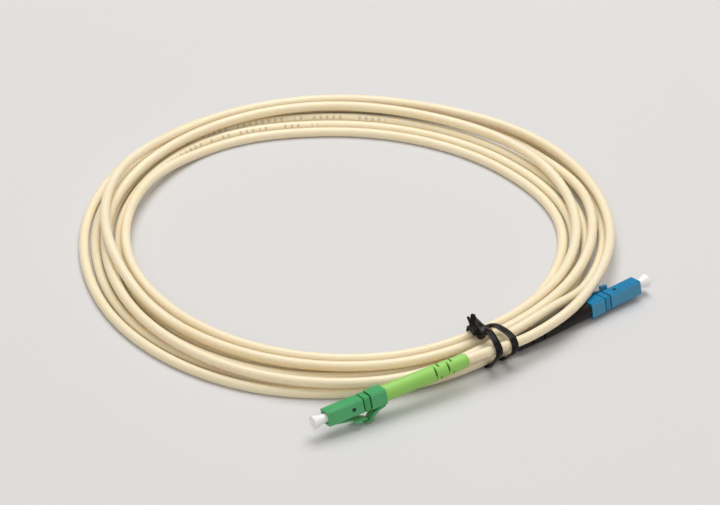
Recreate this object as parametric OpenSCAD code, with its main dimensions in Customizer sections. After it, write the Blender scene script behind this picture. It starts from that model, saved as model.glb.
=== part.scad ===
// Simplex fiber optic patch cord, LC angled plug (end a) to LC flat plug (end b), 3 mm cable.
// The cable lies coiled in seven turns on a table and a twist tie holds it. Millimetres.
// Plug frame: origin at the centre of the front face, +X forward, +Z towards the latch.

/* [Plug] */
// Width and height of the square front housing
plug_w = 4.5; // [4.2:0.1:5.4]
// Front face to the rear edge of the front housing
plug_len = 11.4; // [10.5:0.1:13.7]
// Bevel along the housing's long edges
plug_bevel = 0.35; // [0.1:0.05:0.6]
// Radius of the well around the ferrule
well_r = 1.6; // [1.5:0.05:1.7]
// Depth of the well
well_depth = 6.6; // [5.5:0.1:7.2]
// Thickness of the web behind the well
web = 0.8; // [0.5:0.1:1.1]

/* [Rear housing] */
// Width and height of the rear block
rear_w = 4.9; // [4.8:0.1:5.8]
// Length of the rear block
rear_len = 4.9; // [4.5:0.1:5.9]
// Length of the narrow collar between the plug and the block
collar_len = 2.7; // [2.2:0.1:3.2]

/* [Latch and trigger] */
// Width of the latch arm
latch_w = 2.2; // [1.8:0.1:2.7]
// Width across the latch's two shoulders
shoulder_w = 4.8; // [4.2:0.1:5.6]
// Width of the trigger arm
trigger_w = 3.0; // [2.5:0.1:3.6]
// Radius of the rolled root that each arm turns on
root_r = 0.3; // [0.2:0.01:0.36]

/* [Ferrule] */
// Ferrule radius
ferrule_r = 0.625; // [0.52:0.005:0.75]
// How far the ferrule stands out of the front face
ferrule_out = 1.9; // [1.6:0.1:2.3]
// Angle of the polished end on plug a
polish_deg = 8; // [6.7:0.1:9.6]

/* [Dust cap] */
// Radius of the cap's neck
cap_neck_r = 1.35; // [1.1:0.05:1.5]
// Radius of the flared rim
cap_rim_r = 2.1; // [1.75:0.05:2.5]
// How far the rim stands in front of the housing
cap_out = 4.1; // [3.4:0.1:4.9]
// Length of the neck inside the well
cap_in = 3.6; // [3:0.1:4.3]

/* [Boot] */
// Boot length from the rear housing to the cable
boot_len = 28.2; // [23.5:0.1:33.8]
// Boot radius beside the rear housing
boot_r = 2.4; // [2.3:0.05:2.8]
// Boot radius at the cable end
boot_end_r = 2.1; // [2.0:0.05:2.5]
// Width of a bend slit
slit = 0.55; // [0.4:0.05:0.66]
// Distance between one ring of slits and the next
slit_pitch = 4.3; // [3.6:0.1:5.2]

/* [Cable and tie] */
// Cable diameter
cord_d = 3.0; // [2.5:0.1:3.6]
// Rise from one layer of the coil to the next
layer_rise = 3.45; // [3.4:0.05:3.6]
// Width of the tie's ribbon
ribbon_w = 2.0; // [1.6:0.1:2.4]
// Length of the tie's twisted ends
knob_len = 8.4; // [7:0.1:10]

/* [Fits] */
// Clearance around pieces that sit in one another
fit = 0.05; // [0.02:0.01:0.08]
// Clearance around the ferrule in its cap
ferrule_fit = 0.025; // [0.01:0.005:0.04]

/* [Hidden] */
$fn = 48;

cord_r = cord_d / 2;
body_len = plug_len + collar_len + rear_len;     // front face to the boot
total_len = body_len + boot_len;                 // front face to the boot's cable end
cav_r = plug_w / 2 - 0.45;                       // cavity that holds the backbone
well_back = -well_depth;
web_back = -well_depth - web;
window_x = -well_depth - web - 0.9;              // middle of the side windows
window = 1.2;

// Each plug is placed by its boot's cable end, with yaw, pitch and roll in degrees
tip_a = [33.6, -69.8, 8.3];
turn_a = [193, 3.17, 211.06];
tip_b = [47.8, -55.25, 2.65];
turn_b = [-100, -1.3, 38.0];
shift = [-3.553, 8.017, 0];                     // puts the origin under the middle of the whole

module place_a() translate(tip_a + shift) rotate(turn_a) translate([total_len, 0, 0]) children();
module place_b() translate(tip_b + shift) rotate(turn_b) translate([total_len, 0, 0]) children();
function ahead(tip, turn, x) =
    tip + x * [cos(turn[1]) * cos(turn[2]), cos(turn[1]) * sin(turn[2]), -sin(turn[1])];

// ---------- shared shapes ----------
module bevelled(w, x0, x1, b)                    // square bar along X with bevelled long edges
    translate([x0, 0, 0]) rotate([90, 0, 90]) linear_extrude(x1 - x0)
        let (h = w / 2) polygon([[-h, -h + b], [-h + b, -h], [h - b, -h], [h, -h + b],
            [h, h - b], [h - b, h], [-h + b, h], [-h, h - b]]);
module rod(r, x0, x1) translate([x0, 0, 0]) rotate([0, 90, 0]) cylinder(r = r, h = x1 - x0);
module turned(pts) rotate([0, 90, 0]) rotate_extrude() polygon([for (p = pts) [p[1], p[0]]]);
module arm(pts, w) translate([0, w / 2, 0]) rotate([90, 0, 0]) linear_extrude(w) polygon(pts);

// ---------- plug: front housing with the ferrule's well ----------
latch_root = [-2.0, plug_w / 2 - 0.05];
module plug_shape() difference() {
    bevelled(plug_w, -plug_len, 0, plug_bevel);
    rod(well_r, well_back, 1);
    rod(ferrule_r + 0.3, web_back - 1, well_back + 1);
    rod(cav_r, -plug_len - 1, web_back);
    translate([0, 0, 0]) rod_lead();
    translate([window_x, 0, 0]) cube([window, plug_w + 1, window], center = true);
    translate([latch_root[0], 0, latch_root[1]]) rotate([90, 0, 0])
        cylinder(r = root_r + fit, h = latch_w + 4 * fit, center = true);
}
module rod_lead() turned([[-0.35, 0], [0.01, 0], [0.01, well_r + 0.35], [-0.35, well_r]]);

// ---------- latch arm with two shoulders ----------
top = plug_w / 2;
latch_tail = -body_len + 6.5;                    // where it ends, under the trigger's tip
latch_under = [[-2.35, top + 0.1], [-5.2, top + 0.6], [latch_tail + 1.7, top + 1.65],
    [latch_tail + 0.1, top + 2.35]];
latch_over = [[latch_tail, top + 3.1], [latch_tail + 1.3, top + 2.8], [-7.6, top + 1.65], [-2.4, top + 0.5],
    [-1.9, top + 0.22]];
module latch_shape() {
    translate([latch_root[0], 0, latch_root[1]]) rotate([90, 0, 0])
        cylinder(r = root_r, h = latch_w, center = true);
    arm(concat([[-1.9, top]], latch_under, latch_over), latch_w);
    arm([[-8.1, top + 1.25], [-10.2, top + 1.62], [-10.2, top + 2.55], [-8.1, top + 2.2]], shoulder_w);
}

// ---------- rear housing: collar and block, with the trigger's groove ----------
block_x = -plug_len - collar_len;
rear_top = rear_w / 2;
trigger_root = [-body_len + 0.75, rear_top - 0.05];
module rear_shape() difference() {
    union() {
        bevelled(plug_w - 0.35, block_x - 0.1, -plug_len, plug_bevel);
        bevelled(rear_w, -body_len, block_x, 0.45);
        bevelled(plug_w, block_x + 0.5, -plug_len - 0.5, plug_bevel);
    }
    rod(cav_r, -body_len - 1, -plug_len + 1);
    translate([trigger_root[0], 0, trigger_root[1]]) rotate([90, 0, 0])
        cylinder(r = root_r + fit, h = trigger_w + 4 * fit, center = true);
}

// ---------- trigger arm, from the block forward over the latch's tail ----------
t0 = trigger_root[0];
trigger_under = [[t0 + 0.35, rear_top + 0.12], [t0 + 2.1, rear_top + 0.5], [t0 + 3.6, top + 1.35],
    [t0 + 4.7, top + 2.45], [t0 + 5.4, top + 3.3], [t0 + 6.3, top + 3.28]];
trigger_over = [[t0 + 6.5, top + 3.6], [t0 + 5.5, top + 3.9], [t0 + 4.3, top + 3.3],
    [t0 + 3.1, top + 2.25], [t0 + 1.9, rear_top + 1.25], [t0 - 0.3, rear_top + 0.75],
    [t0 - 0.45, rear_top + 0.3]];
module trigger_shape() {
    translate([trigger_root[0], 0, trigger_root[1]]) rotate([90, 0, 0])
        cylinder(r = root_r, h = trigger_w, center = true);
    arm(concat([[t0 - 0.1, rear_top]], trigger_under, trigger_over), trigger_w);
}

// ---------- ferrule, flange, spring, fibre: what floats on the spring ----------
flange_r = cav_r - 0.25 - fit;
flange_front = web_back - fit;
flange_back = flange_front - 1.5;
stem_r = 0.75;
stem_back = flange_back - 2.6;
ferrule_back = flange_back + 0.4;
seat_x = flange_back - 5.0;                      // the spring's rear seat in the backbone
module ferrule_shape(angle) difference() {
    turned([[ferrule_back, 0], [ferrule_out - 0.25, 0], [ferrule_out, 0], [ferrule_out, ferrule_r - 0.2],
        [ferrule_out - 0.25, ferrule_r], [ferrule_back, ferrule_r]]);
    if (angle > 0) translate([ferrule_out, 0, 0]) rotate([0, -angle, 0])
        translate([0, -2, -3]) cube([2, 4, 6]);
}
module flange_shape() difference() {
    union() {
        turned([[flange_back, 0], [flange_front, 0], [flange_front, flange_r - 0.4],
            [flange_front - 0.5, flange_r], [flange_back, flange_r]]);
        rod(stem_r, stem_back, flange_back + 0.1);
    }
    rod(ferrule_r, ferrule_back, flange_front + 1);
    rod(fibre_r, stem_back - 1, ferrule_back - 0.6);
    for (k = [0, 180]) rotate([k, 0, 0])         // key slots that stop the ferrule turning
        translate([flange_back - 1, -0.3, flange_r - 0.35]) cube([3, 0.6, 1]);
}
wire_r = 0.2;
spring_r = stem_r + wire_r + 0.2;
spring_turns = 5;
module spring_shape() {
    x0 = seat_x + wire_r + fit;
    x1 = flange_back - wire_r - fit;
    n = spring_turns * 8;
    tube([for (i = [0:n]) let (a = 360 * i / 8, x = x0 + (x1 - x0) * i / n)
        [for (k = [0:5]) let (b = 60 * k, r = spring_r + wire_r * cos(b))
            [x + wire_r * sin(b), r * cos(a), r * sin(a)]]]);
}
fibre_r = 0.45;
fibre_back = -body_len - 6.2;
module fibre_shape() rod(fibre_r, fibre_back, ferrule_back - 0.6);

// ---------- backbone, yarn and crimp sleeve ----------
back_front = window_x + window / 2 + 0.3;
back_r = cav_r - fit;
post_r = 1.0;
post_back = -body_len - 5.6;
lip = 0.35;
module backbone_shape() difference() {
    union() {
        rod(back_r, -body_len - lip, back_front);
        rod(back_r + 0.35, -body_len - lip, -body_len);
        rod(post_r, post_back, -body_len);
        for (k = [-1, 1]) translate([window_x, k * (back_r + 0.1), 0])
            cube([window - 2 * fit, 0.5, window - 2 * fit], center = true);
    }
    rod(flange_r + fit, seat_x, back_front + 1);
    rod(fibre_r + fit, post_back - 1, seat_x + 1);
    for (x = [1:4]) translate([-body_len - lip - x, 0, 0]) rotate([0, 90, 0])
        difference() { cylinder(r = post_r + 1, h = 0.3); cylinder(r = post_r - 0.12, h = 0.3); }
}
yarn_r = post_r + 0.28;
module yarn_shape() difference() {
    rod(yarn_r, post_back + 0.3, -body_len - lip - 0.5);
    rod(post_r + 0.02, post_back - 1, 0);
}
jacket_x = -body_len - 7.4;                      // where the jacket starts, behind the post
sleeve_r = cord_r + 0.3;
module sleeve_shape() difference() {
    turned([[jacket_x - 3.5, 0], [-body_len - lip - 0.3, 0], [-body_len - lip - 0.3, yarn_r + 0.3],
        [post_back + 0.2, yarn_r + 0.3], [post_back - 0.7, sleeve_r], [jacket_x - 3.5, sleeve_r]]);
    rod(yarn_r + 0.02, post_back, 0);
    rod(cord_r + 0.04, jacket_x - 5, jacket_x + 0.3);
    turned([[jacket_x + 0.2, 0], [post_back + 0.1, 0], [post_back + 0.1, yarn_r + 0.02],
        [post_back - 0.4, yarn_r + 0.02], [jacket_x + 0.2, cord_r + 0.04]]);
}

// ---------- boot with staggered bend slits ----------
boot_x = -body_len - 0.03;
boot_back = -total_len;
boot_bore = cord_r + 0.15;
module boot_shape(slit_turn) difference() {
    turned([[boot_back, 0], [boot_x, 0], [boot_x, boot_r - 0.1], [boot_x - 0.1, boot_r],
        [boot_x - 15, boot_r], [boot_back + 6, (boot_r + 2 * boot_end_r) / 3 + 0.05],
        [boot_back + 0.9, boot_end_r], [boot_back + 0.25, boot_end_r - 0.15],
        [boot_back, boot_end_r - 0.4]]);
    rod(boot_bore, boot_back - 1, 0);
    rod(sleeve_r + fit, jacket_x - 3.7, 0);
    rod(back_r + 0.35 + fit, boot_x - lip - fit, 0);
    for (k = [0, 1], s = [-1, 1]) {              // slits on the two sides, then above and below
        rotate([slit_turn, 0, 0]) translate([boot_back + 7.0 + k * slit_pitch, s * (boot_bore + 0.9), 0])
            cube([slit, 2.4, 2 * boot_r + 1], center = true);
        rotate([slit_turn, 0, 0]) translate([boot_back + 5.5 + k * slit_pitch, 0, s * (boot_bore + 0.9)])
            cube([slit, 2 * boot_r + 1, 2.4], center = true);
    }
}

// ---------- dust cap with a flared end ----------
module cap_shape() difference() {
    turned([[-cap_in, 0], [cap_out, 0], [cap_out, cap_rim_r - 0.15], [cap_out - 0.2, cap_rim_r],
        [cap_out - 0.6, cap_rim_r - 0.1], [cap_out - 1.5, cap_neck_r + 0.3], [cap_out - 2.4, cap_neck_r + 0.05],
        [0.3, cap_neck_r], [-cap_in + 0.4, cap_neck_r], [-cap_in, cap_neck_r - 0.25]]);
    rod(ferrule_r + ferrule_fit, -cap_in - 1, ferrule_out + 0.4);
    turned([[-cap_in - 0.1, 0], [-cap_in + 0.3, 0], [-cap_in + 0.3, ferrule_r + ferrule_fit],
        [-cap_in - 0.1, ferrule_r + 0.3]]);
    turned([[cap_out - 0.5, 0], [cap_out + 0.1, 0], [cap_out + 0.1, cap_rim_r - 0.4],
        [cap_out - 0.5, cap_rim_r - 0.8]]);
}

// ---------- the coil: seven turns, from plug b's boot round to plug a's ----------
// Stations are degrees past the tie. Radius by turn, and layer by turn (0 on the table).
station = [0, 30, 60, 90, 120, 150, 180, 210, 240, 270, 300, 330, 345];
radius = [
    [73.2, 75.2, 78.8, 79.9, 80.3, 82.0, 82.9, 81.4, 80.2, 80.2, 77.8, 74.3, 71.9],
    [71.6, 75.6, 76.8, 75.4, 74.0, 74.3, 74.0, 72.8, 70.4, 71.1, 69.4, 66.6, 65.0],
    [64.75, 64.6, 64.8, 65.6, 67.6, 68.6, 68.3, 63.0, 61.2, 62.2, 64.9, 63.0, 62.5],
    [62.6, 64.2, 66.5, 68.9, 69.4, 71.3, 72.2, 67.0, 65.0, 66.0, 68.4, 66.5, 66.0],
    [66.05, 67.8, 70.4, 72.5, 73.0, 74.9, 75.7, 71.4, 69.0, 69.8, 71.9, 70.3, 69.6],
    [69.5, 71.4, 74.5, 76.2, 76.6, 78.5, 79.3, 77.0, 76.0, 76.2, 74.6, 70.4, 68.5],
    [68.2, 68.2, 68.6, 69.8, 72.5, 76.8, 77.9, 76.6, 75.6, 78.6, 79.0, 78.0, 78.0]];
layer = [
    [0.34, 0, 0, 0, 0, 0, 0, 0, 0, 0, 0, 0.3, 1.42],
    [1.50, 1, 1, 1, 1, 1, 1, 1, 1, 1, 1, 1, 1.1],
    [1.30, 1, 1, 1, 1, 1, 0, 0, 0, 0, 0, 0, 0.1],
    [0.34, 0, 0, 0, 0, 0, 0, 0, 0, 0, 0, 0, 0.1],
    [0.34, 0, 0, 0, 0, 0, 0, 0, 0, 0, 0, 0, 0.1],
    [0.34, 0, 0, 0, 0, 0, 0, 0, 0, 0, 1, 1, 1.1],
    [1.30, 1, 1, 1, 2, 2, 1, 1, 1, 1, 1, 1.6, 1.7]];
turns = len(radius);
tie_angle = 310;                                 // where the tie sits, degrees round the coil
rings = 24;                                      // rings on one loop
sit = 0.4 * cord_d;                              // height of the lowest turns' middle

straight_b = ahead(tip_b, turn_b, -cord_d);
straight_a = ahead(tip_a, turn_a, -cord_d);
function past_tie(p, k) = 360 * k + tie_angle - atan2(p[1], p[0]) - 360;
function flat_r(p) = norm([p[0], p[1]]);
first = [past_tie(straight_b, 0), flat_r(straight_b), straight_b[2]];
last = [past_tie(straight_a, turns), flat_r(straight_a), straight_a[2]];
marks = concat([first],
    [for (t = [0:turns - 1], s = [0:len(station) - 1]) if (t + s > 0)
        [360 * t + station[s], radius[t][s], sit + layer_rise * layer[t][s]]],
    [[360 * turns, 76.8, sit + layer_rise * 1.6], last]);
count = len(marks);
function slope(i) = let (p = marks[max(i - 1, 0)], q = marks[min(i + 1, count - 1)])
    (q[1] - p[1]) / (q[0] - p[0]);
function leg(a, i = 0) = i >= count - 2 || a < marks[i + 1][0] ? i : leg(a, i + 1);
function polar(a) = let (i = leg(a), p = marks[i], q = marks[i + 1], d = q[0] - p[0],
        t = (a - p[0]) / d, u = t * t, v = u * t, s = 3 * u - 2 * v)
    [(2 * v - 3 * u + 1) * p[1] + (v - 2 * u + t) * d * slope(i)
        + (3 * u - 2 * v) * q[1] + (v - u) * d * slope(i + 1),
     p[2] + (q[2] - p[2]) * s];
function around(a) = let (c = polar(a), h = tie_angle - a) [c[0] * cos(h), c[0] * sin(h), c[1]];
loop_path = [for (a = concat([first[0]], [for (k = [1:rings * turns]) 360 * k / rings], [last[0]]))
    around(a)];
end_in = total_len + jacket_x;
path = concat([ahead(tip_b, turn_b, end_in), tip_b], loop_path, [tip_a, ahead(tip_a, turn_a, end_in)]);

function unit(v) = v / norm(v);
function heading(p, i) = i == 0 ? unit(p[1] - p[0]) : i == len(p) - 1 ? unit(p[i] - p[i - 1])
    : unit(unit(p[i + 1] - p[i]) + unit(p[i] - p[i - 1]));
function ring(p, i) = let (t = heading(p, i), s = unit(cross(t, [0, 0, 1])), u = cross(s, t))
    [for (k = [0:5]) let (q = p[i] + cord_r * (cos(60 * k) * s + sin(60 * k) * u))
        [q[0], q[1], max(q[2], 0)]];
module tube(r) {
    n = len(r[0]);
    m = len(r);
    polyhedron([for (a = r, b = a) b], concat(
        [[for (k = [0:n - 1]) k], [for (k = [n - 1:-1:0]) (m - 1) * n + k]],
        [for (i = [0:m - 2], k = [0:n - 1]) let (j = (k + 1) % n)
            each [[i * n + k, (i + 1) * n + k, i * n + j], [i * n + j, (i + 1) * n + k, (i + 1) * n + j]]]));
}

// least gap between one pass of the coil and another, on the path and its midpoints
half = [for (i = [0:len(loop_path) - 2], h = [0, 0.5])
    [i, loop_path[i] * (1 - h) + loop_path[i + 1] * h]];
least_gap = min([for (i = [0:len(half) - 1], j = [i + 1:1:len(half) - 1])
    if (half[j][0] - half[i][0] > 4) norm(half[i][1] - half[j][1])]) - cord_d;
cord_len = let (s = [for (i = [1:len(path) - 1]) norm(path[i] - path[i - 1])]) s * [for (x = s) 1];

// ---------- the tie: two turns of ribbon round all eight passes, ends twisted ----------
// Corner passes: 0 low inner, 1 low outer, 2 high outer, 3 high inner
corner_pass = [1080, 0, 360 * turns, 720];
// Stops along the ribbon: corner pass, direction round it, how far off it, degrees past the tie's place
stops = [[3, 42, 3.9, 4.7], [3, 43, 3.7, 3.2], [2, 160, 6.0, 2.2], [2, 151, 3.7, 1.9], [2, 131, 1.8, 2.0],
    [2, 82, 0.5, 2.3], [2, 17, 0.35, 2.8], [2, -35, 0.8, 3.0], [1, 10, 1.8, 3.0], [1, -40, 0.6, 3.1],
    [1, -90, 0.25, 3.2], [0, -70, 0.25, 4.2], [0, -135, 0.5, 4.6], [0, 180, 0.4, 4.9], [3, 180, 0.4, 5.2],
    [3, 135, 0.55, 5.5], [3, 90, 0.5, 5.8], [3, 50, 1.0, 6.0], [2, 172, 5.6, 6.3], [2, 148, 2.6, 6.7],
    [2, 85, 0.5, 7.0], [2, 17, 0.35, 7.2], [2, -35, 0.8, 7.3], [1, 10, 1.8, 7.3], [1, -40, 0.6, 7.3],
    [1, -90, 0.25, 7.4], [0, -70, 0.25, 7.7], [0, -135, 0.5, 7.9], [0, 180, 0.4, 7.9], [3, 180, 0.4, 7.9],
    [3, 140, 0.6, 7.9], [3, 110, 1.2, 7.8]];
function on_pass(a) = let (g = 360 / rings, k = floor(a / g), a0 = max(k * g, first[0]),
        a1 = min(a0 == first[0] ? g : (k + 1) * g, last[0]), t = (a - a0) / (a1 - a0),
        p = around(a0) * (1 - t) + around(a1) * t)
    [flat_r(p), p[2]];
function past(r, deg, z) = let (h = tie_angle - deg) [r * cos(h), r * sin(h), z];
function stop_at(s) = let (c = on_pass(corner_pass[s[0]] + s[3]), d = cord_r + s[2])
    past(c[0] + d * cos(s[1]), s[3], c[1] + d * sin(s[1]));
knob_w = 3.2;
knob_z = on_pass(corner_pass[3] + 8)[1] + cord_r + 0.8 + knob_w / 2;
knob_low = past(on_pass(corner_pass[3])[0] + 7.2, 8.7, knob_z);
knob_end = knob_low + knob_len * unit(past(64.7, 7.8, knob_z + 3.4) - knob_low);
function beside(x, side, up) = knob_low + x * unit(knob_end - knob_low)
    + side * [cos(tie_angle + 82), sin(tie_angle + 82), 0] + [0, 0, up];
stop_points = concat([beside(2.4, knob_w / 2 + 0.3, -0.2)], [for (s = stops) stop_at(s)],
    [beside(knob_len - 2.2, 0, -knob_w / 2 - 0.5)]);
stop_count = len(stop_points);
function smooth(i, t) = let (p = stop_points, a = p[max(i - 1, 0)], b = p[i], c = p[i + 1],
        d = p[min(i + 2, stop_count - 1)])
    b + t / 2 * (c - a) + t * t * (a - 2.5 * b + 2 * c - d / 2) + t * t * t * (1.5 * (b - c) + (d - a) / 2);
ribbon_path = concat([for (i = [0:stop_count - 2], t = [0, 0.5]) smooth(i, t)], [stop_points[stop_count - 1]]);
wire_w = 0.26;
groove = wire_w / 2 + 0.05;
section = [[ribbon_w / 2, -0.2], [ribbon_w / 2, 0.1], [0.4, 0.13], [0.22, 0.26], [-0.22, 0.26],
    [-0.4, 0.13], [-ribbon_w / 2, 0.1], [-ribbon_w / 2, -0.2], [-groove, -0.2], [-groove, 0.11],
    [groove, 0.11], [groove, -0.2]];
core = [[-wire_w / 2, -0.18], [wire_w / 2, -0.18], [wire_w / 2, 0.08], [-wire_w / 2, 0.08]];
function across(p, i, sec) = let (t = heading(p, i), h = atan2(p[i][1], p[i][0]),
        c = [-sin(h), cos(h), 0], w = unit((c * t) * t - c), v = cross(w, t))
    [for (c = sec) let (q = p[i] + c[0] * w + c[1] * v) [q[0], q[1], max(q[2], 0)]];
module swept(sec) tube([for (i = [0:len(ribbon_path) - 1]) across(ribbon_path, i, sec)]);

knob_steps = 20;
knob_section = [for (k = [0, 1], q = [[1, -0.55], [1, 0.55], [0.3, 0.42], [-0.3, 0.42]])
    (1 - 2 * k) * [q[0] * knob_w / 2, q[1] * knob_w / 2]];
module twist_knob() {
    along = unit(knob_end - knob_low);
    side = unit(cross([0, 0, 1], along));
    up = cross(along, side);
    tube([for (i = [0:knob_steps]) let (b = 400 * i / knob_steps, k = min(1, 0.6 + 0.1 * i))
        [for (q = k * knob_section) knob_low + i / knob_steps * (knob_end - knob_low)
            + (q[0] * cos(b) - q[1] * sin(b)) * side + (q[0] * sin(b) + q[1] * cos(b)) * up]]);
}

// ---------- nodes ----------
green = [0.05, 0.45, 0.25];
blue = [0.05, 0.40, 0.65];
module cap_a() color("white") place_a() cap_shape();
module plug_a() color(green) place_a() plug_shape();
module latch_a() color(green) place_a() latch_shape();
module rear_a() color(green) place_a() rear_shape();
module trigger_a() color(green) place_a() trigger_shape();
module boot_a() color([0.55, 0.8, 0.35]) place_a() boot_shape(20);
module ferrule_a() color("ivory") place_a() ferrule_shape(polish_deg);
module flange_a() color("silver") place_a() flange_shape();
module spring_a() color("gray") place_a() spring_shape();
module backbone_a() color("lightgray") place_a() backbone_shape();
module sleeve_a() color("gold") place_a() sleeve_shape();
module yarn_a() color("yellow") place_a() yarn_shape();
module fibre_a() color("orange") place_a() fibre_shape();
module cap_b() color("white") place_b() cap_shape();
module plug_b() color(blue) place_b() plug_shape();
module latch_b() color(blue) place_b() latch_shape();
module rear_b() color(blue) place_b() rear_shape();
module trigger_b() color(blue) place_b() trigger_shape();
module boot_b() color([0.08, 0.08, 0.08]) place_b() boot_shape(0);
module ferrule_b() color("ivory") place_b() ferrule_shape(0);
module flange_b() color("silver") place_b() flange_shape();
module spring_b() color("gray") place_b() spring_shape();
module backbone_b() color("lightgray") place_b() backbone_shape();
module sleeve_b() color("gold") place_b() sleeve_shape();
module yarn_b() color("yellow") place_b() yarn_shape();
module fibre_b() color("orange") place_b() fibre_shape();
module jacket() color([0.95, 0.88, 0.75]) translate(shift)
    tube([for (i = [0:len(path) - 1]) ring(path, i)]);
module tie_ribbon() color([0.05, 0.05, 0.05]) translate(shift)
    swept(section);
module tie_wire() color("silver") translate(shift) swept(core);
module tie_knob() color([0.05, 0.05, 0.05]) translate(shift) twist_knob();

cap_a();
plug_a();
latch_a();
rear_a();
trigger_a();
boot_a();
ferrule_a();
flange_a();
spring_a();
backbone_a();
sleeve_a();
yarn_a();
fibre_a();
cap_b();
plug_b();
latch_b();
rear_b();
trigger_b();
boot_b();
ferrule_b();
flange_b();
spring_b();
backbone_b();
sleeve_b();
yarn_b();
fibre_b();
jacket();
tie_ribbon();
tie_wire();
tie_knob();

echo(least_gap = least_gap, cord_len = cord_len, total_len = total_len);
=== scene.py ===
import math

import bpy
import numpy as np
from mathutils import Euler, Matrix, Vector


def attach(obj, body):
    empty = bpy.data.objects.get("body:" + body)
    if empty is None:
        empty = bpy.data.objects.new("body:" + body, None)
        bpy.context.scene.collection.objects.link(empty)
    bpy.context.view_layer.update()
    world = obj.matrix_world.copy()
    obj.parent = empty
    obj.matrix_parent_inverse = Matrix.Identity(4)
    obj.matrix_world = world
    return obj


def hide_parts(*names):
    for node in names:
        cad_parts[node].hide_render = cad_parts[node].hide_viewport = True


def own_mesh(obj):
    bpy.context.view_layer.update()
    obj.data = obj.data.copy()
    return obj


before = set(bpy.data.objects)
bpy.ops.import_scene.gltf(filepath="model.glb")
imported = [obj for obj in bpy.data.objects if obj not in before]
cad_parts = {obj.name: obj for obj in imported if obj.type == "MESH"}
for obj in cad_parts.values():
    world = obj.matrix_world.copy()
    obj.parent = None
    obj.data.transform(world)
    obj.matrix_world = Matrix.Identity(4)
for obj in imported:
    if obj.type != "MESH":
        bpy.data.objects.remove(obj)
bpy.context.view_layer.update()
MM = 0.001            # metres in a millimetre

# ---------- Camera ----------
# A long lens about a metre off, looking down at the coil from the side where both plugs lie.
# The view's middle is a little to the right of the coil's middle and below it.
coil_middle = Vector((-3.553, 8.017, 0)) * MM
look_down = math.radians(34.5)
towards_lens = Vector((0, -math.cos(look_down), math.sin(look_down)))
view_up = Vector((0, math.sin(look_down), math.cos(look_down)))
aim_right, aim_low, lens_far = 3.03, 1.97, 1.170       # the last one in metres
aim = coil_middle + Vector((aim_right, 0, 0)) * MM - aim_low * MM * view_up
camera = bpy.data.objects.new("camera", bpy.data.cameras.new("camera"))
bpy.context.collection.objects.link(camera)
camera.location = aim + lens_far * towards_lens
camera.rotation_euler = towards_lens.to_track_quat("Z", "Y").to_euler()
camera.data.sensor_width = 36
camera.data.lens = 193
camera.data.clip_start, camera.data.clip_end = 0.05, 20
bpy.context.scene.camera = camera

# ---------- Cable ----------
# One 3 mm round cable with a smooth sheath of cream plastic, about 3.2 m long, wound by hand into
# seven loose turns that cross over one another. It runs 21 mm up inside each plug's boot.
cable_r = 1.5
plug_long = 19.0      # front of the housing to the boot
boot_long = 28.2
cable_start = 7.4     # how far behind the boot's front the sheath starts
tips = {"a": (33.6, -69.8, 8.3), "b": (47.8, -55.25, 2.65)}         # cable end of each boot
turned = {"a": (193, 3.17, 211.06), "b": (-100, -1.3, 38.0)}        # roll, pitch and yaw
tie_angle = 310       # where the tie sits, degrees round the coil
layer_rise = 3.45
sit = 1.2             # height of the lowest turns' middle: their undersides press flat
# A row for each turn: how far out its middle is at each station, in degrees past the tie, and how
# many layers up. The last turn comes back to the tie at last_stop.
station = [0, 30, 60, 90, 120, 150, 180, 210, 240, 270, 300, 330, 345]
radius = [
    [73.2, 75.2, 78.8, 79.9, 80.3, 82.0, 82.9, 81.4, 80.2, 80.2, 77.8, 74.3, 71.9],
    [71.6, 75.6, 76.8, 75.4, 74.0, 74.3, 74.0, 72.8, 70.4, 71.1, 69.4, 66.6, 65.0],
    [64.75, 64.6, 64.8, 65.6, 67.6, 68.6, 68.3, 63.0, 61.2, 62.2, 64.9, 63.0, 62.5],
    [62.6, 64.2, 66.5, 68.9, 69.4, 71.3, 72.2, 67.0, 65.0, 66.0, 68.4, 66.5, 66.0],
    [66.05, 67.8, 70.4, 72.5, 73.0, 74.9, 75.7, 71.4, 69.0, 69.8, 71.9, 70.3, 69.6],
    [69.5, 71.4, 74.5, 76.2, 76.6, 78.5, 79.3, 77.0, 76.0, 76.2, 74.6, 70.4, 68.5],
    [68.2, 68.2, 68.6, 69.8, 72.5, 76.8, 77.9, 76.6, 75.6, 78.6, 79.0, 78.0, 78.0],
]
layer = [
    [0.34, 0, 0, 0, 0, 0, 0, 0, 0, 0, 0, 0.3, 1.42],
    [1.50, 1, 1, 1, 1, 1, 1, 1, 1, 1, 1, 1, 1.1],
    [1.30, 1, 1, 1, 1, 1, 0, 0, 0, 0, 0, 0, 0.1],
    [0.34, 0, 0, 0, 0, 0, 0, 0, 0, 0, 0, 0, 0.1],
    [0.34, 0, 0, 0, 0, 0, 0, 0, 0, 0, 0, 0, 0.1],
    [0.34, 0, 0, 0, 0, 0, 0, 0, 0, 0, 1, 1, 1.1],
    [1.30, 1, 1, 1, 2, 2, 1, 1, 1, 1, 1, 1.6, 1.7],
]
last_stop = (76.8, 1.6)
turns = len(radius)


def out_of_boot(end, x):
    """A point x mm in front of the boot's cable end, on the plug's own axis."""
    roll, pitch, yaw = (math.radians(v) for v in turned[end])
    along = (math.cos(pitch) * math.cos(yaw), math.cos(pitch) * math.sin(yaw), -math.sin(pitch))
    return np.array(tips[end]) + x * np.array(along)


def mark_at(point, turn):
    """A point's degrees past the tie since the start, its radius and its height."""
    past = 360 * turn + tie_angle - math.degrees(math.atan2(point[1], point[0])) - 360
    return [past, math.hypot(point[0], point[1]), point[2]]


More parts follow.
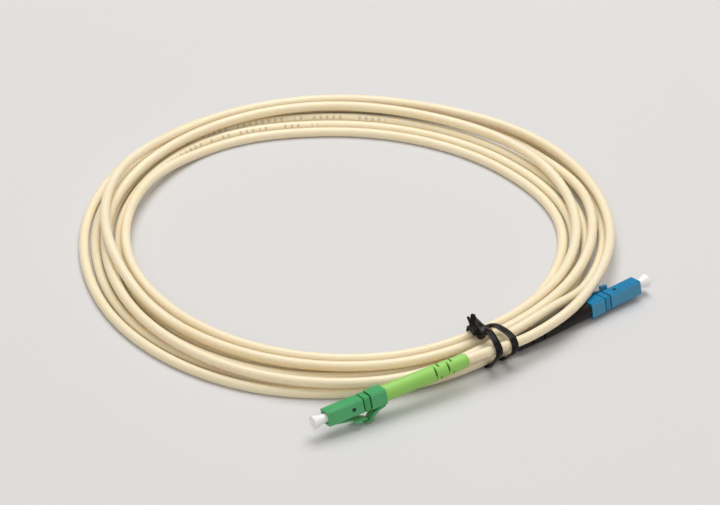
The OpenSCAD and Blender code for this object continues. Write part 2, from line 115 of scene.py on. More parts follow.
first_mark = mark_at(out_of_boot("b", -2 * cable_r), 0)
last_mark = mark_at(out_of_boot("a", -2 * cable_r), turns)
marks = [first_mark]
for t in range(turns):
    for s, past in enumerate(station):
        if t + s > 0:
            marks.append([360 * t + past, radius[t][s], sit + layer_rise * layer[t][s]])
marks += [[360 * turns, last_stop[0], sit + layer_rise * last_stop[1]], last_mark]
marks = np.array(marks)
slopes = np.empty(len(marks))
for i in range(len(marks)):
    before, after = marks[max(i - 1, 0)], marks[min(i + 1, len(marks) - 1)]
    slopes[i] = (after[1] - before[1]) / (after[0] - before[0])


def on_coil(past):
    """Radius and height of the cable's middle, so many degrees past the tie since the start."""
    i = int(np.clip(np.searchsorted(marks[:, 0], past, side="right") - 1, 0, len(marks) - 2))
    p, q = marks[i], marks[i + 1]
    d = q[0] - p[0]
    t = (past - p[0]) / d
    u, v = t * t, t * t * t
    r = ((2 * v - 3 * u + 1) * p[1] + (v - 2 * u + t) * d * slopes[i]
         + (3 * u - 2 * v) * q[1] + (v - u) * d * slopes[i + 1])
    return r, p[2] + (q[2] - p[2]) * (3 * u - 2 * v)


def round_coil(r, past, z):
    """The point at a radius and a height, so many degrees past the tie."""
    a = math.radians(tie_angle - past)
    return np.array((r * math.cos(a), r * math.sin(a), z))


def even_steps(points, step):
    """The same line with points a step apart."""
    run = np.concatenate([[0], np.cumsum(np.linalg.norm(np.diff(points, axis=0), axis=1))])
    at = np.linspace(0, run[-1], int(round(run[-1] / step)) + 1)
    return np.stack([np.interp(at, run, points[:, k]) for k in range(3)], axis=1)


degrees_apart, route_step = 5, 3.0
route = [out_of_boot("b", boot_long - cable_start), out_of_boot("b", 0)]
for past in [first_mark[0], *range(degrees_apart, 360 * turns + 1, degrees_apart), last_mark[0]]:
    r, z = on_coil(past)
    route.append(round_coil(r, past, z))
route += [out_of_boot("a", 0), out_of_boot("a", boot_long - cable_start)]
route = even_steps(np.array(route), route_step)
for smoothing in range(3):                           # a cable bends without corners
    route[1:-1] = (route[:-2] + 2 * route[1:-1] + route[2:]) / 4


def headings(line):
    """Unit vectors along a line at each of its points."""
    step = np.diff(line, axis=0)
    step /= np.linalg.norm(step, axis=1)[:, None]
    mean = np.concatenate([step[:1], step[:-1] + step[1:], step[-1:]])
    return mean / np.linalg.norm(mean, axis=1)[:, None]


def loft(name, rings, body, on_table=False):
    """A closed tube through rings of points of the shared frame, in millimetres, riding on a body."""
    rings = np.array(rings, float)
    count, sides = rings.shape[:2]
    points = rings.reshape(-1, 3).copy()
    if on_table:
        points[:, 2] = np.maximum(points[:, 2], 0)
    i, k = np.meshgrid(np.arange(count - 1), np.arange(sides), indexing="ij")
    j = (k + 1) % sides
    quads = np.stack([i * sides + k, i * sides + j, (i + 1) * sides + j, (i + 1) * sides + k], axis=-1)
    faces = [tuple(int(n) for n in q) for q in quads.reshape(-1, 4)]
    faces.append(tuple(reversed(range(sides))))
    faces.append(tuple(range((count - 1) * sides, count * sides)))
    mesh = bpy.data.meshes.new(name)
    mesh.from_pydata([tuple(p) for p in points * MM], [], faces)
    mesh.shade_smooth()
    mesh.update()
    piece = bpy.data.objects.new(name, mesh)
    bpy.context.collection.objects.link(piece)
    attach(piece, body)
    return piece


cable_sides = 20
shift = np.array(coil_middle) / MM
along = headings(route)
inward = np.cross(along, (0, 0, 1))
inward /= np.linalg.norm(inward, axis=1)[:, None]
upward = np.cross(inward, along)
angles = np.arange(cable_sides) * 2 * math.pi / cable_sides
cable_rings = (route[:, None] + cable_r * (np.cos(angles)[None, :, None] * inward[:, None]
               + np.sin(angles)[None, :, None] * upward[:, None]) + shift)
cable = loft("cable", cable_rings, "cord", on_table=True)

# The sheath's own map is in metres along it and turns round it.
run = np.concatenate([[0], np.cumsum(np.linalg.norm(np.diff(route, axis=0), axis=1))]) * MM
sheath_map = cable.data.uv_layers.new(name="along_and_round")
for face in cable.data.polygons:
    closes_ring = len(face.vertices) == 4 and max(v % cable_sides for v in face.vertices) > 1
    for corner in face.loop_indices:
        ring, side = divmod(cable.data.loops[corner].vertex_index, cable_sides)
        if side == 0 and closes_ring:
            side = cable_sides                       # a whole turn round, not back at nought
        sheath_map.data[corner].uv = (run[ring], side / cable_sides)


def new_node(tree, kind, values=(), **settings):
    """A node with its settings, and its unlinked inputs by name or number."""
    made = tree.nodes.new(kind)
    for key, value in settings.items():
        setattr(made, key, value)
    for key, value in dict(values).items():
        made.inputs[key].default_value = value
    return made


def new_group(name, inputs, outputs):
    """An empty shader group with its sockets, its way in and its way out."""
    group = bpy.data.node_groups.new(name, "ShaderNodeTree")
    for label, kind, value in inputs:
        socket = group.interface.new_socket(label, in_out="INPUT", socket_type="NodeSocket" + kind)
        if value is not None:
            socket.default_value = value
    for label, kind in outputs:
        group.interface.new_socket(label, in_out="OUTPUT", socket_type="NodeSocket" + kind)
    return group, group.nodes.new("NodeGroupInput"), group.nodes.new("NodeGroupOutput")


def connect(tree, *pairs):
    """Links each output to the socket that it is paired with."""
    for output, socket in pairs:
        tree.links.new(output, socket)


# Every moulded, drawn or pressed surface: its colour drifts a little from place to place,
# handling leaves duller and shinier patches, and a fine grain breaks up the light.
surface, way_in, way_out = new_group(
    "drifting_surface",
    [("Colour", "Color", (0.5, 0.5, 0.5, 1)), ("Deep colour", "Color", (0.4, 0.4, 0.4, 1)),
     ("Patches per metre", "Float", 60.0), ("Grain per metre", "Float", 2500.0),
     ("Smoothest", "Float", 0.3), ("Dullest", "Float", 0.5)],
    [("Colour", "Color"), ("Roughness", "Float"), ("Grain", "Float")])
place = new_node(surface, "ShaderNodeTexCoord")
patches = new_node(surface, "ShaderNodeTexNoise", {"Detail": 4.0, "Roughness": 0.6})
drift = new_node(surface, "ShaderNodeMapRange", {"From Min": 0.3, "From Max": 0.7})
tint = new_node(surface, "ShaderNodeMix", data_type="RGBA")
handled = new_node(surface, "ShaderNodeTexNoise", {"Detail": 5.0, "Roughness": 0.65, "Distortion": 0.4})
finer = new_node(surface, "ShaderNodeMath", {1: 6.3}, operation="MULTIPLY")
dull = new_node(surface, "ShaderNodeMapRange", {"From Min": 0.3, "From Max": 0.7})
grain = new_node(surface, "ShaderNodeTexNoise", {"Detail": 3.0, "Roughness": 0.55})
connect(
    surface,
    (place.outputs["Object"], patches.inputs["Vector"]),
    (way_in.outputs["Patches per metre"], patches.inputs["Scale"]),
    (patches.outputs["Fac"], drift.inputs["Value"]),
    (drift.outputs["Result"], tint.inputs["Factor"]),
    (way_in.outputs["Deep colour"], tint.inputs["A"]),
    (way_in.outputs["Colour"], tint.inputs["B"]),
    (tint.outputs["Result"], way_out.inputs["Colour"]),
    (place.outputs["Object"], handled.inputs["Vector"]),
    (way_in.outputs["Patches per metre"], finer.inputs[0]),
    (finer.outputs[0], handled.inputs["Scale"]),
    (handled.outputs["Fac"], dull.inputs["Value"]),
    (way_in.outputs["Smoothest"], dull.inputs["To Min"]),
    (way_in.outputs["Dullest"], dull.inputs["To Max"]),
    (dull.outputs["Result"], way_out.inputs["Roughness"]),
    (place.outputs["Object"], grain.inputs["Vector"]),
    (way_in.outputs["Grain per metre"], grain.inputs["Scale"]),
    (grain.outputs["Fac"], way_out.inputs["Grain"]))


def finish_of(name, colour, deep, smoothest, dullest, patch=60.0, grain=2500.0, depth=0.02, grip=0.4,
              **shader_values):
    """A material with the drifting surface in it. depth is the grain's in millimetres."""
    made = bpy.data.materials.new(name)
    made.use_nodes = True
    tree = made.node_tree
    shader = tree.nodes["Principled BSDF"]
    for key, value in shader_values.items():
        shader.inputs[key.replace("_", " ")].default_value = value
    skin = new_node(tree, "ShaderNodeGroup", node_tree=surface, name="skin")
    for key, value in {"Colour": (*colour, 1), "Deep colour": (*deep, 1), "Patches per metre": patch,
                       "Grain per metre": grain, "Smoothest": smoothest, "Dullest": dullest}.items():
        skin.inputs[key].default_value = value
    bump = new_node(tree, "ShaderNodeBump", {"Strength": grip, "Distance": depth * MM})
    connect(tree,
            (skin.outputs["Colour"], shader.inputs["Base Color"]),
            (skin.outputs["Roughness"], shader.inputs["Roughness"]),
            (skin.outputs["Grain"], bump.inputs["Height"]),
            (bump.outputs["Normal"], shader.inputs["Normal"]))
    return made


# The sheath carries two faint runs of small plain ticks at the back of the coil, and its ends covered
# by the boots are painted almost black as shade, so the slits show dark.
sheath = finish_of("cream_sheath", (0.905, 0.800, 0.585), (0.880, 0.755, 0.525), 0.30, 0.44,
                   patch=38.0, grain=1500.0, depth=0.03, grip=0.35, Specular_IOR_Level=0.5,
                   Subsurface_Weight=0.45, Subsurface_Radius=(1.0, 0.62, 0.28), Subsurface_Scale=0.0020)
tree = sheath.node_tree
lay_map = new_node(tree, "ShaderNodeUVMap", uv_map="along_and_round")
lay = new_node(tree, "ShaderNodeSeparateXYZ")
tree.links.new(lay_map.outputs["UV"], lay.inputs[0])


def strip(tree, value, period, start, end, soft):
    """1 where the value's place in its period is between start and end, 0 elsewhere."""
    wrapped = new_node(tree, "ShaderNodeMath", {1: period}, operation="FLOORED_MODULO")
    rise = new_node(tree, "ShaderNodeMapRange", {"From Min": start, "From Max": start + soft})
    fall = new_node(tree, "ShaderNodeMapRange",
                    {"From Min": end - soft, "From Max": end, "To Min": 1.0, "To Max": 0.0})
    both = new_node(tree, "ShaderNodeMath", operation="MULTIPLY")
    connect(tree,
            (value, wrapped.inputs[0]),
            (wrapped.outputs[0], rise.inputs["Value"]),
            (wrapped.outputs[0], fall.inputs["Value"]),
            (rise.outputs["Result"], both.inputs[0]),
            (fall.outputs["Result"], both.inputs[1]))
    return both.outputs[0]


def times(tree, a, b):
    """One socket times another socket or a number."""
    made = new_node(tree, "ShaderNodeMath", operation="MULTIPLY")
    for n, value in enumerate((a, b)):
        if isinstance(value, float):
            made.inputs[n].default_value = value
        else:
            tree.links.new(value, made.inputs[n])
    return made.outputs[0]


whole_sheath = 10.0                                  # metres, longer than the cable
covered = 0.020                                      # what lies inside each boot
row_start, row_end = 0.050, 0.180                    # in turns round the sheath
tick_apart, tick_long = 0.0021, 0.0011
coil_turn, ticks_start, ticks_end = 0.460, 0.181, 0.251         # the ticks' place in each turn of the coil
first_marked, last_marked = 1.5, 2.2                 # metres along the sheath
row = strip(tree, lay.outputs["Y"], 1.0, row_start, row_end, 0.012)
tick = strip(tree, lay.outputs["X"], tick_apart, 0.0, tick_long, 0.0003)
marked = times(tree, strip(tree, lay.outputs["X"], coil_turn, ticks_start, ticks_end, 0.002),
               strip(tree, lay.outputs["X"], whole_sheath, first_marked, last_marked, 0.01))
broken = new_node(tree, "ShaderNodeTexNoise", {"Scale": 210.0, "Detail": 1.0}, noise_dimensions="1D")
groups = new_node(tree, "ShaderNodeMapRange", {"From Min": 0.43, "From Max": 0.46})
patchy = new_node(tree, "ShaderNodeTexNoise", {"Scale": 1400.0, "Detail": 2.0})
worn = new_node(tree, "ShaderNodeMapRange",
                {"From Min": 0.35, "From Max": 0.6, "To Min": 0.20, "To Max": 0.62})
inked = times(tree, times(tree, row, tick), times(tree, marked, worn.outputs["Result"]))
ink = new_node(tree, "ShaderNodeMix", {"B": (0.30, 0.24, 0.15, 1)}, data_type="RGBA")
# Painted shade: the sheath inside each boot is coloured almost black.
bare = strip(tree, lay.outputs["X"], whole_sheath, covered, run[-1] - covered, 0.0006)
painted_boot_shade = new_node(tree, "ShaderNodeMix", {"A": (0.022, 0.020, 0.014, 1)}, data_type="RGBA")
connect(tree,
        (lay.outputs["X"], broken.inputs["W"]),
        (broken.outputs["Fac"], groups.inputs["Value"]),
        (patchy.outputs["Fac"], worn.inputs["Value"]),
        (times(tree, inked, groups.outputs["Result"]), ink.inputs["Factor"]),
        (tree.nodes["skin"].outputs["Colour"], ink.inputs["A"]),
        (bare, painted_boot_shade.inputs["Factor"]),
        (ink.outputs["Result"], painted_boot_shade.inputs["B"]),
        (painted_boot_shade.outputs["Result"], tree.nodes["Principled BSDF"].inputs["Base Color"]))
cable.data.materials.append(sheath)
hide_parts("jacket")

# ---------- Housings, latches and triggers ----------
# Each plug is two injection-moulded plastic shells, a square front and a thicker rear block with a
# collar between them, a springy latch arm with two shoulders, and a trigger arm that presses it down.
plug_half, block_half = 2.25, 2.45
latch_half, trigger_half = 1.1, 1.5
mould_turn, mould_place = {}, {}
for end in "ab":
    roll, pitch, yaw = (math.radians(v) for v in turned[end])
    mould_turn[end] = Euler((roll, pitch, yaw), "XYZ").to_matrix()
    mould_place[end] = Vector(out_of_boot(end, plug_long + boot_long) + shift) * MM

# Corners of a square moulding are painted paler: partly wear that polishes them, more in some places than
# others, and partly a painted highlight for the light their rounded edges catch. The two sides that stand
# upright as the plug lies get, more weakly, a painted sheen for the pale table's reflection.
corners, way_in, way_out = new_group(
    "worn_corners_and_painted_sheen",
    [("Place", "Vector", None), ("Half width", "Float", 2.25), ("Half height", "Float", 2.25),
     ("Reach", "Float", 0.3), ("On its side", "Float", 0.0)],
    [("Wear and sheen", "Float")])
across = new_node(corners, "ShaderNodeSeparateXYZ")
corners.links.new(way_in.outputs["Place"], across.inputs[0])
nearness = []
for axis, half in (("Y", "Half width"), ("Z", "Half height")):
    size = new_node(corners, "ShaderNodeMath", operation="ABSOLUTE")
    inner = new_node(corners, "ShaderNodeMath", operation="SUBTRACT")
    ramp = new_node(corners, "ShaderNodeMapRange", interpolation_type="SMOOTHSTEP")
    connect(corners,
            (across.outputs[axis], size.inputs[0]),
            (way_in.outputs[half], inner.inputs[0]),
            (way_in.outputs["Reach"], inner.inputs[1]),
            (size.outputs[0], ramp.inputs["Value"]),
            (inner.outputs[0], ramp.inputs["From Min"]),
            (way_in.outputs[half], ramp.inputs["From Max"]))
    nearness.append(ramp.outputs["Result"])
rub = new_node(corners, "ShaderNodeTexNoise", {"Scale": 1.6, "Detail": 4.0, "Roughness": 0.7})
rubbed = new_node(corners, "ShaderNodeMapRange",
                  {"From Min": 0.35, "From Max": 0.65, "To Min": 0.25, "To Max": 1.0})
# Painted sheen: the whole upright side faces are lightened a little, standing for a reflection.
painted_sheen_side = new_node(corners, "ShaderNodeMix", data_type="FLOAT")
either = new_node(corners, "ShaderNodeMath", operation="MAXIMUM")
painted_sheen_share = 0.30
connect(corners,
        (way_in.outputs["Place"], rub.inputs["Vector"]),
        (rub.outputs["Fac"], rubbed.inputs["Value"]),
        (way_in.outputs["On its side"], painted_sheen_side.inputs["Factor"]),
        (nearness[0], painted_sheen_side.inputs["A"]),
        (nearness[1], painted_sheen_side.inputs["B"]),
        (times(corners, times(corners, *nearness), rubbed.outputs["Result"]), either.inputs[0]),
        (times(corners, painted_sheen_side.outputs["Result"], painted_sheen_share), either.inputs[1]),
        (either.outputs[0], way_out.inputs["Wear and sheen"]))


def moulding(name, end, colour, deep, wear_and_sheen_colour, half_width, half_height, wear_and_sheen_share, seams=()):
    """Glossy moulded plastic with paler long corners (wear and painted highlight), a weak painted sheen on
    its upright sides, and painted shade where a seam crosses the plug.
    """
    made = finish_of(name, colour, deep, 0.24, 0.42, patch=160.0, grain=5200.0, depth=0.012,
                     grip=0.35, Specular_IOR_Level=0.3)
    tree = made.node_tree
    coordinates = new_node(tree, "ShaderNodeTexCoord")
    turn_back = mould_turn[end].transposed()
    mapping = new_node(tree, "ShaderNodeMapping", {     # to millimetres of the plug's own frame
        "Location": -(turn_back @ mould_place[end]) / MM, "Rotation": turn_back.to_euler("XYZ"),
        "Scale": (1 / MM, 1 / MM, 1 / MM)})
    edge = new_node(tree, "ShaderNodeGroup", node_tree=corners)
    for key, value in {"Half width": half_width, "Half height": half_height, "Reach": 0.32,
                       "On its side": abs(math.sin(math.radians(turned[end][0])))}.items():
        edge.inputs[key].default_value = value
    # The paler tone mixed in: wear and painted highlight on the corners, painted sheen on the upright sides.
    wear_and_sheen_mix = new_node(tree, "ShaderNodeMix", {"B": (*wear_and_sheen_colour, 1)}, data_type="RGBA")
    part_way = new_node(tree, "ShaderNodeMath", {1: wear_and_sheen_share}, operation="MULTIPLY")
    lengthwise = new_node(tree, "ShaderNodeSeparateXYZ")
    connect(tree,
            (coordinates.outputs["Object"], mapping.inputs["Vector"]),
            (mapping.outputs["Vector"], edge.inputs["Place"]),
            (mapping.outputs["Vector"], lengthwise.inputs[0]),
            (edge.outputs["Wear and sheen"], part_way.inputs[0]),
            (part_way.outputs[0], wear_and_sheen_mix.inputs["Factor"]),
            (tree.nodes["skin"].outputs["Colour"], wear_and_sheen_mix.inputs["A"]))
    shown = wear_and_sheen_mix.outputs["Result"]
    # Painted shade: each narrow seam gap across the plug is coloured dark.
    for back, front in seams:
        once = 1000.0                                   # a period so long that the seam comes once
        seam = strip(tree, lengthwise.outputs["X"], once, once + back, once + front, 0.08)
        painted_seam_shade = new_node(tree, "ShaderNodeMix", {"B": (*(0.22 * c for c in deep), 1)}, data_type="RGBA")
        connect(tree, (seam, painted_seam_shade.inputs["Factor"]), (shown, painted_seam_shade.inputs["A"]))
        shown = painted_seam_shade.outputs["Result"]
    tree.links.new(shown, tree.nodes["Principled BSDF"].inputs["Base Color"])
    return made


def soften(node_name, width, angle=28):
    """Moulded pieces have no knife edges: the edges are rounded over as the mould leaves them."""
    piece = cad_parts[node_name]
    joined = piece.modifiers.new("joined", "WELD")
    joined.merge_threshold = 0.002 * MM
    rounded = piece.modifiers.new("rounded", "BEVEL")
    rounded.width = width * MM
    rounded.segments = 2
    rounded.limit_method = "ANGLE"
    rounded.angle_limit = math.radians(angle)
    rounded.harden_normals = True
    rounded.use_clamp_overlap = True


def give(node_name, material):
    """Puts a material in every slot of a piece of the frame."""
    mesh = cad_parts[node_name].data
    for n in range(len(mesh.materials)):
        mesh.materials[n] = material
    if not len(mesh.materials):
        mesh.materials.append(material)


arm_half_thick = 0.5
collar_seams = ((-11.86, -11.40), (-14.10, -13.64))    # narrow gaps at the collar's two ends, painted dark as shade
# Each plug's colour, its deeper tone, and the paler tone painted on its corners (wear and highlight) and its
# upright sides (painted sheen).
shades = {"a": ((0.052, 0.375, 0.118), (0.040, 0.330, 0.098), (0.27, 0.66, 0.38)),
          "b": ((0.001, 0.212, 0.410), (0.001, 0.178, 0.365), (0.24, 0.50, 0.64))}
for end in "ab":
    for part, half_width, half_height, round_over, wear_and_sheen_share in (
            ("plug", plug_half, plug_half, 0.10, 0.85), ("rear", block_half, block_half, 0.10, 0.85),
            ("latch", latch_half, arm_half_thick, 0.08, 0.35),
            ("trigger", trigger_half, arm_half_thick, 0.08, 0.2)):
        soften(f"{part}_{end}", round_over)
        seams = collar_seams if part == "rear" else ()
        give(f"{part}_{end}", moulding(f"{part}_shell_{end}", end, *shades[end], half_width, half_height,
                                       wear_and_sheen_share, seams))

# ---------- Boots ----------
# A soft rubber sleeve pressed over the back of each plug, tapering to the cable, with rows of
# slits near the cable end that let it bend. One is light green and the other is black.
boot_finish = {
    "a": finish_of("light_green_rubber", (0.325, 0.665, 0.130), (0.290, 0.610, 0.110), 0.42, 0.58,
                   patch=120.0, grain=4200.0, depth=0.02, grip=0.4),
    "b": finish_of("black_rubber", (0.014, 0.009, 0.007), (0.008, 0.006, 0.005), 0.40, 0.60,
                   patch=120.0, grain=4200.0, depth=0.02, grip=0.45, Specular_IOR_Level=0.25)}
for end in "ab":
    soften(f"boot_{end}", 0.07, angle=32)
    give(f"boot_{end}", boot_finish[end])

# ---------- Dust caps ----------
# A thimble of soft white plastic, moulded in one piece, keeps each ferrule's end clean. Its neck slips
# over the ferrule inside the housing's well, and its flared rim is there to pull it by.
cap_finish = finish_of("white_cap", (0.97, 0.945, 0.93), (0.94, 0.915, 0.90), 0.32, 0.5,
                       patch=200.0, grain=4000.0, depth=0.012, grip=0.3, Subsurface_Weight=0.2,
                       Subsurface_Radius=(1.0, 0.92, 0.88), Subsurface_Scale=0.0012)
for end in "ab":
    soften(f"cap_{end}", 0.06, angle=32)
    give(f"cap_{end}", cap_finish)

# ---------- Ferrules, flanges, backbones and sleeves ----------
# Inside each plug a ground ceramic ferrule floats in a plated flange, with the buffered fibre glued in
# its back. A black plastic backbone clips into the housing and holds the spring, and a plated brass
# sleeve is crimped over its post.
inner_finish = {
    "ferrule": finish_of("white_ceramic", (0.90, 0.89, 0.85), (0.86, 0.85, 0.80), 0.08, 0.16,
                         patch=300.0, grain=6000.0, depth=0.002, grip=0.2, Coat_Weight=0.3),
    "flange": finish_of("nickel_plate", (0.70, 0.67, 0.62), (0.62, 0.59, 0.55), 0.20, 0.34,
                        patch=300.0, grain=7000.0, depth=0.006, grip=0.4, Metallic=1.0),
    "backbone": finish_of("black_plastic", (0.016, 0.016, 0.017), (0.010, 0.010, 0.011), 0.35, 0.5,
                          patch=200.0, grain=4500.0, depth=0.012, grip=0.35),
    "fibre": finish_of("fibre_buffer", (0.90, 0.88, 0.82), (0.84, 0.82, 0.76), 0.22, 0.34,
                       patch=300.0, grain=6000.0, depth=0.006, grip=0.3),
    "sleeve": finish_of("plated_brass", (0.72, 0.58, 0.32), (0.64, 0.50, 0.26), 0.24, 0.42,
                        patch=260.0, grain=6500.0, depth=0.008, grip=0.4, Metallic=1.0)}
for end in "ab":
    for part, made in inner_finish.items():
        soften(f"{part}_{end}", 0.03, angle=35)
        give(f"{part}_{end}", made)

# ---------- Springs ----------
# A coil of bright round steel wire behind each flange pushes the ferrule forward.
spring_seat, flange_back = -14.45, -9.45
wire_r, wire_clear = 0.2, 0.25                       # the wire's middle stops this far from both
spring_back, spring_front = spring_seat + wire_clear, flange_back - wire_clear
spring_middle_r, spring_turns, steps_a_turn, wire_sides = 1.15, 5, 24, 10
spring_finish = finish_of("bright_wire", (0.58, 0.58, 0.60), (0.50, 0.50, 0.52), 0.18, 0.30,
                          patch=400.0, grain=7000.0, depth=0.004, grip=0.3, Metallic=1.0)


def in_plug(end, points):
    """Points of a plug's own frame as points of the shared frame, all in millimetres."""
    turn = np.array(mould_turn[end])
    return np.asarray(points, float) @ turn.T + np.array(mould_place[end]) / MM


for end in "ab":
    steps = spring_turns * steps_a_turn
    turn_at = np.arange(steps + 1) * 2 * math.pi / steps_a_turn
    x = np.linspace(spring_back, spring_front, steps + 1)
    round_wire = np.arange(wire_sides) * 2 * math.pi / wire_sides
    far = spring_middle_r + wire_r * np.cos(round_wire)[None, :]
    rings = np.stack([x[:, None] + wire_r * np.sin(round_wire)[None, :],
                      far * np.cos(turn_at)[:, None], far * np.sin(turn_at)[:, None]], axis=-1)
    spring = loft(f"coil_spring_{end}", in_plug(end, rings), "cord")
    spring.data.materials.append(spring_finish)
    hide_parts(f"spring_{end}")
    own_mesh(spring)

# ---------- Yarn under the crimp ----------
# The cable's strength yarn, of yellow aramid, is fanned out round the backbone's post, and the
# plated sleeve is crimped over it.
yarn_front, yarn_back = -plug_long - 0.95, -plug_long - 5.2
yarn_r, strand_high, strand_wide = 1.16, 0.12, 0.14
strand_count, strand_sides, strand_steps = 20, 8, 12
strand_lay = 0.35                                    # radians round the post from front to back
yarn_finish = finish_of("yellow_yarn", (0.78, 0.60, 0.16), (0.66, 0.48, 0.10), 0.45, 0.65,
                        patch=900.0, grain=9000.0, depth=0.02, grip=0.6, Sheen_Weight=0.3)


def bundled(name, strands):
    """One piece made of several strands, which it takes the place of."""
    vertices, faces = [], []
    for strand in strands:
        start = len(vertices)
        vertices += [tuple(v.co) for v in strand.data.vertices]
        faces += [tuple(start + v for v in p.vertices) for p in strand.data.polygons]
        bpy.data.objects.remove(strand)
    mesh = bpy.data.meshes.new(name)
    mesh.from_pydata(vertices, [], faces)
    mesh.shade_smooth()
    piece = bpy.data.objects.new(name, mesh)
    bpy.context.collection.objects.link(piece)
    return piece


for end in "ab":
    fan = []
    x = np.linspace(yarn_front, yarn_back, strand_steps)
    for n in range(strand_count):
        a = 2 * math.pi * n / strand_count + strand_lay * np.linspace(0, 1, strand_steps)
        round_strand = np.arange(strand_sides) * 2 * math.pi / strand_sides
        far = yarn_r + strand_high * np.cos(round_strand)[None, :]
        turn_at = a[:, None] + strand_wide * np.sin(round_strand)[None, :] / yarn_r
        rings = np.stack([np.broadcast_to(x[:, None], turn_at.shape),
                          far * np.cos(turn_at), far * np.sin(turn_at)], axis=-1)
        fan.append(loft(f"yarn_strand_{n}", in_plug(end, rings), "cord"))
    yarn = bundled(f"fanned_yarn_{end}", fan)
    yarn.data.materials.append(yarn_finish)
    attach(yarn, "cord")
    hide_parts(f"yarn_{end}")

# ---------- Twist tie ----------
# A black plastic ribbon with a soft iron wire along its middle goes twice round all the passes of
# the cable. Its two ends are twisted together into a stub that stands up on the inner side.
ribbon_half = 1.1
corner_pass = [1080, 0, 360 * turns, 720]            # low inner, low outer, high outer, high inner
tie_stops = [                                        # pass, direction round it, how far off it, degrees past
    (3, 47, 5.0, 4.5), (3, 46, 4.6, 3.4), (2, 157, 6.1, 2.4), (2, 148, 4.0, 2.0), (2, 126, 2.1, 2.0),
    (2, 82, 0.9, 2.2), (2, 20, 0.7, 2.6), (2, -30, 0.9, 2.9), (1, 10, 2.0, 3.0), (1, -40, 0.6, 3.1),
    (1, -90, 0.25, 3.2), (0, -70, 0.25, 3.7), (0, -135, 0.5, 3.9), (0, 180, 0.4, 4.0), (3, 180, 0.4, 4.1),
    (3, 135, 0.7, 4.4), (3, 98, 1.5, 4.9), (3, 68, 3.0, 5.4), (2, 155, 6.3, 5.9), (2, 136, 4.3, 6.4),
    (2, 88, 1.5, 6.8), (2, 30, 1.0, 6.95), (2, -22, 0.9, 7.1), (1, 16, 2.1, 7.2), (1, -35, 0.7, 7.3),
    (1, -90, 0.25, 7.4), (0, -70, 0.25, 7.2), (0, -135, 0.5, 6.9), (0, 180, 0.4, 6.6), (3, 180, 0.4, 6.4),
    (3, 140, 0.7, 6.4), (3, 105, 1.6, 6.6)]
stub_wide, stub_long = 3.2, 7.4
bundle_r, bundle_z = 70.5, 4.3                       # the middle of the tied bundle
bundle_wide, bundle_high = 9.0, 5.0                  # half its size


def tie_stop(which, direction, off, past):
    """A point so far off one of the outer passes of cable, in a direction round it."""
    r, z = on_coil(corner_pass[which] + past)
    reach = cable_r + off
    a = math.radians(direction)
    return round_coil(r + reach * math.cos(a), past, z + reach * math.sin(a))


# The stub starts above the passes, a little outside the high inner one, and points inwards and up.
stub_z = on_coil(corner_pass[3] + 8)[1] + cable_r + 0.8 + stub_wide / 2
stub_low = round_coil(on_coil(corner_pass[3])[0] + 7.2, 8.7, stub_z)
stub_way = round_coil(64.7, 8.6, stub_z + 3.2) - stub_low
stub_way /= np.linalg.norm(stub_way)


def beside_stub(x, side, up):
    """A point x mm up the stub, and beside it along the cable and upwards."""
    a = math.radians(tie_angle + 82)
    return stub_low + x * stub_way + side * np.array((math.cos(a), math.sin(a), 0)) + np.array((0, 0, up))


stops = np.array([beside_stub(2.4, stub_wide / 2 + 0.2, 0.7)] + [tie_stop(*s) for s in tie_stops]
                 + [beside_stub(2.2, 0.5, -0.6)])


def smooth_line(points, steps):
    """A smooth line through the points, with so many steps from each to the next."""
    padded = np.concatenate([points[:1], points, points[-1:]])
    line = []
    for i in range(len(points) - 1):
        a, b, c, d = padded[i:i + 4]
        for t in np.arange(steps) / steps:
            line.append(b + t / 2 * (c - a) + t * t * (a - 2.5 * b + 2 * c - d / 2)
                        + t ** 3 * (1.5 * (b - c) + (d - a) / 2))
    return np.array(line + [points[-1]])


def sweep(name, line, section):
    """A flat section carried along the tie's line, its face turned away from the bundle's middle."""
    way = headings(line)
    r = np.hypot(line[:, 0], line[:, 1])
    off = ((r - bundle_r) / bundle_wide ** 2 / r)[:, None] * line
    off[:, 2] = (line[:, 2] - bundle_z) / bundle_high ** 2
    wide = np.cross(way, off)
    wide /= np.linalg.norm(wide, axis=1)[:, None]
    outward = np.cross(wide, way)
    section = np.array(section)[::-1]
    rings = (line[:, None] + section[None, :, :1] * wide[:, None] + section[None, :, 1:] * outward[:, None])
    rings[:, :, 2] = np.maximum(rings[:, :, 2], 0.01)
    return loft(name, rings + shift, "cord")


tie_line = smooth_line(stops, 6)
core_half, core_sides = 0.13, 8
ribbon_section = [
    (ribbon_half - 0.06, -0.19), (ribbon_half, -0.13), (ribbon_half, 0.03), (ribbon_half - 0.08, 0.10),
    (0.52, 0.12), (0.40, 0.18), (0.30, 0.29), (0.15, 0.36), (0, 0.38), (-0.15, 0.36), (-0.30, 0.29),
    (-0.40, 0.18), (-0.52, 0.12), (-ribbon_half + 0.08, 0.10), (-ribbon_half, 0.03), (-ribbon_half, -0.13),
    (-ribbon_half + 0.06, -0.19), (-0.18, -0.20), (-0.18, 0.11), (0.18, 0.11), (0.18, -0.20)]
ribbon = sweep("twist_ribbon", tie_line, ribbon_section)
core = sweep("ribbon_wire", tie_line,
             [(core_half * math.cos(a), -0.05 + core_half * math.sin(a))
              for a in np.arange(core_sides) * 2 * math.pi / core_sides])
black_ribbon = finish_of("black_ribbon", (0.006, 0.0045, 0.0035), (0.003, 0.0025, 0.002), 0.20, 0.34,
                         patch=500.0, grain=5000.0, depth=0.008, grip=0.3, Specular_IOR_Level=0.2)
iron = finish_of("soft_iron", (0.45, 0.44, 0.43), (0.34, 0.33, 0.32), 0.35, 0.5,
                 patch=500.0, grain=7000.0, depth=0.006, grip=0.4, Metallic=1.0)

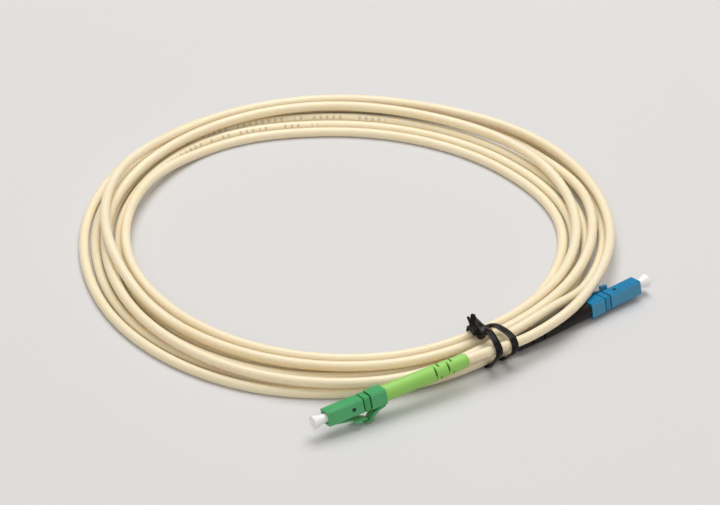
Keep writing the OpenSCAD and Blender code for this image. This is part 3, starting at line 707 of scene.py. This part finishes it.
# The stub is the ribbon's two ends wound round each other, each with its raised rib outside. It is
# pinched at its root, and the two tips part a little.
stub_side = np.cross((0, 0, 1), stub_way)
stub_side /= np.linalg.norm(stub_side)
stub_up = np.cross(stub_way, stub_side)
stub_aside = 1.5 * np.array((0.848, 0.530, 0.2))        # it leans this way along the cable
stub_section = [
    (1.44, -0.46), (1.56, -0.30), (1.56, 0.10), (1.42, 0.26), (0.66, 0.32), (0.44, 0.46), (0.18, 0.56),
    (-0.18, 0.56), (-0.44, 0.46), (-0.66, 0.32), (-1.42, 0.26), (-1.56, 0.10), (-1.56, -0.30), (-1.44, -0.46)]
stub_steps, stub_twist = 48, 110                     # the twist in degrees
root_wide, full_wide, widens = 0.84, 1.08, 1.2       # shares of the section's width
strand_off, tips_part, parting_share = 0.56, 0.20, 0.16
ends = []
for side in (1, -1):
    rings = []
    for i in range(stub_steps + 1):
        share = i / stub_steps
        turn = math.radians(stub_twist * share - stub_twist / 2)
        spread = min(full_wide, root_wide + widens * share)
        apart = strand_off + tips_part * max(0, share - (1 - parting_share)) / parting_share
        ring = [(spread * x * side, (y + apart) * side * (0.75 + 0.25 * spread)) for x, y in stub_section]
        rings.append([stub_low + stub_aside + share * (stub_long * stub_way)
                      + (x * math.cos(turn) - y * math.sin(turn)) * stub_side
                      + (x * math.sin(turn) + y * math.cos(turn)) * stub_up for x, y in ring])
    ends.append(loft(f"stub_strand_{side}", np.array(rings) + shift, "cord"))
stub = bundled("twisted_stub", ends)
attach(stub, "cord")
for piece, node_name, slot_name, made in ((ribbon, "tie_ribbon", "tie", black_ribbon),
                                          (stub, "tie_knob", "tie", black_ribbon),
                                          (core, "tie_wire", "tie_wire", iron)):
    piece.data.set_sharp_from_angle(angle=math.radians(50))
    piece.data.materials.append(made)
    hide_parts(node_name)

# ---------- Table and light ----------
# The coil lies on a plain pale table under one soft lamp, above it and behind, so that the
# shadows fall towards the lens. A weak lamp in front and a pale, slightly warm room lift them.
table_finish = finish_of("pale_table", (0.674, 0.665, 0.660), (0.664, 0.655, 0.650), 0.55, 0.7,
                         patch=3.0, grain=900.0, depth=0.01, grip=0.15, Specular_IOR_Level=0.2)
mesh = bpy.data.meshes.new("table")
mesh.from_pydata([(-3, -3, 0), (3, -3, 0), (3, 3, 0), (-3, 3, 0)], [], [(0, 1, 2, 3)])
table = bpy.data.objects.new("table", mesh)
bpy.context.collection.objects.link(table)
mesh.materials.append(table_finish)
table.location.z = -0.02 * MM


def lamp(name, place, size, power):
    """A square lamp that shines at the coil, with its place and size in metres and its power in watts."""
    made = bpy.data.objects.new(name, bpy.data.lights.new(name, "AREA"))
    made.data.shape = "SQUARE"
    made.data.size = size
    made.data.energy = power
    made.data.color = (0.985, 0.992, 1.0)
    made.location = place
    made.rotation_euler = Vector(place).to_track_quat("Z", "Y").to_euler()
    bpy.context.collection.objects.link(made)


lamp("soft_lamp", (0.06, 0.42, 1.16), 0.95, 12.5)
lamp("front_lamp", (-0.15, -1.0, 0.9), 1.0, 4.0)
world = bpy.data.worlds.new("room")
world.use_nodes = True
room = world.node_tree.nodes["Background"]
room.inputs["Color"].default_value = (1, 0.96, 0.92, 1)
room.inputs["Strength"].default_value = 0.36
bpy.context.scene.world = world
bpy.context.scene.view_settings.view_transform = "Standard"
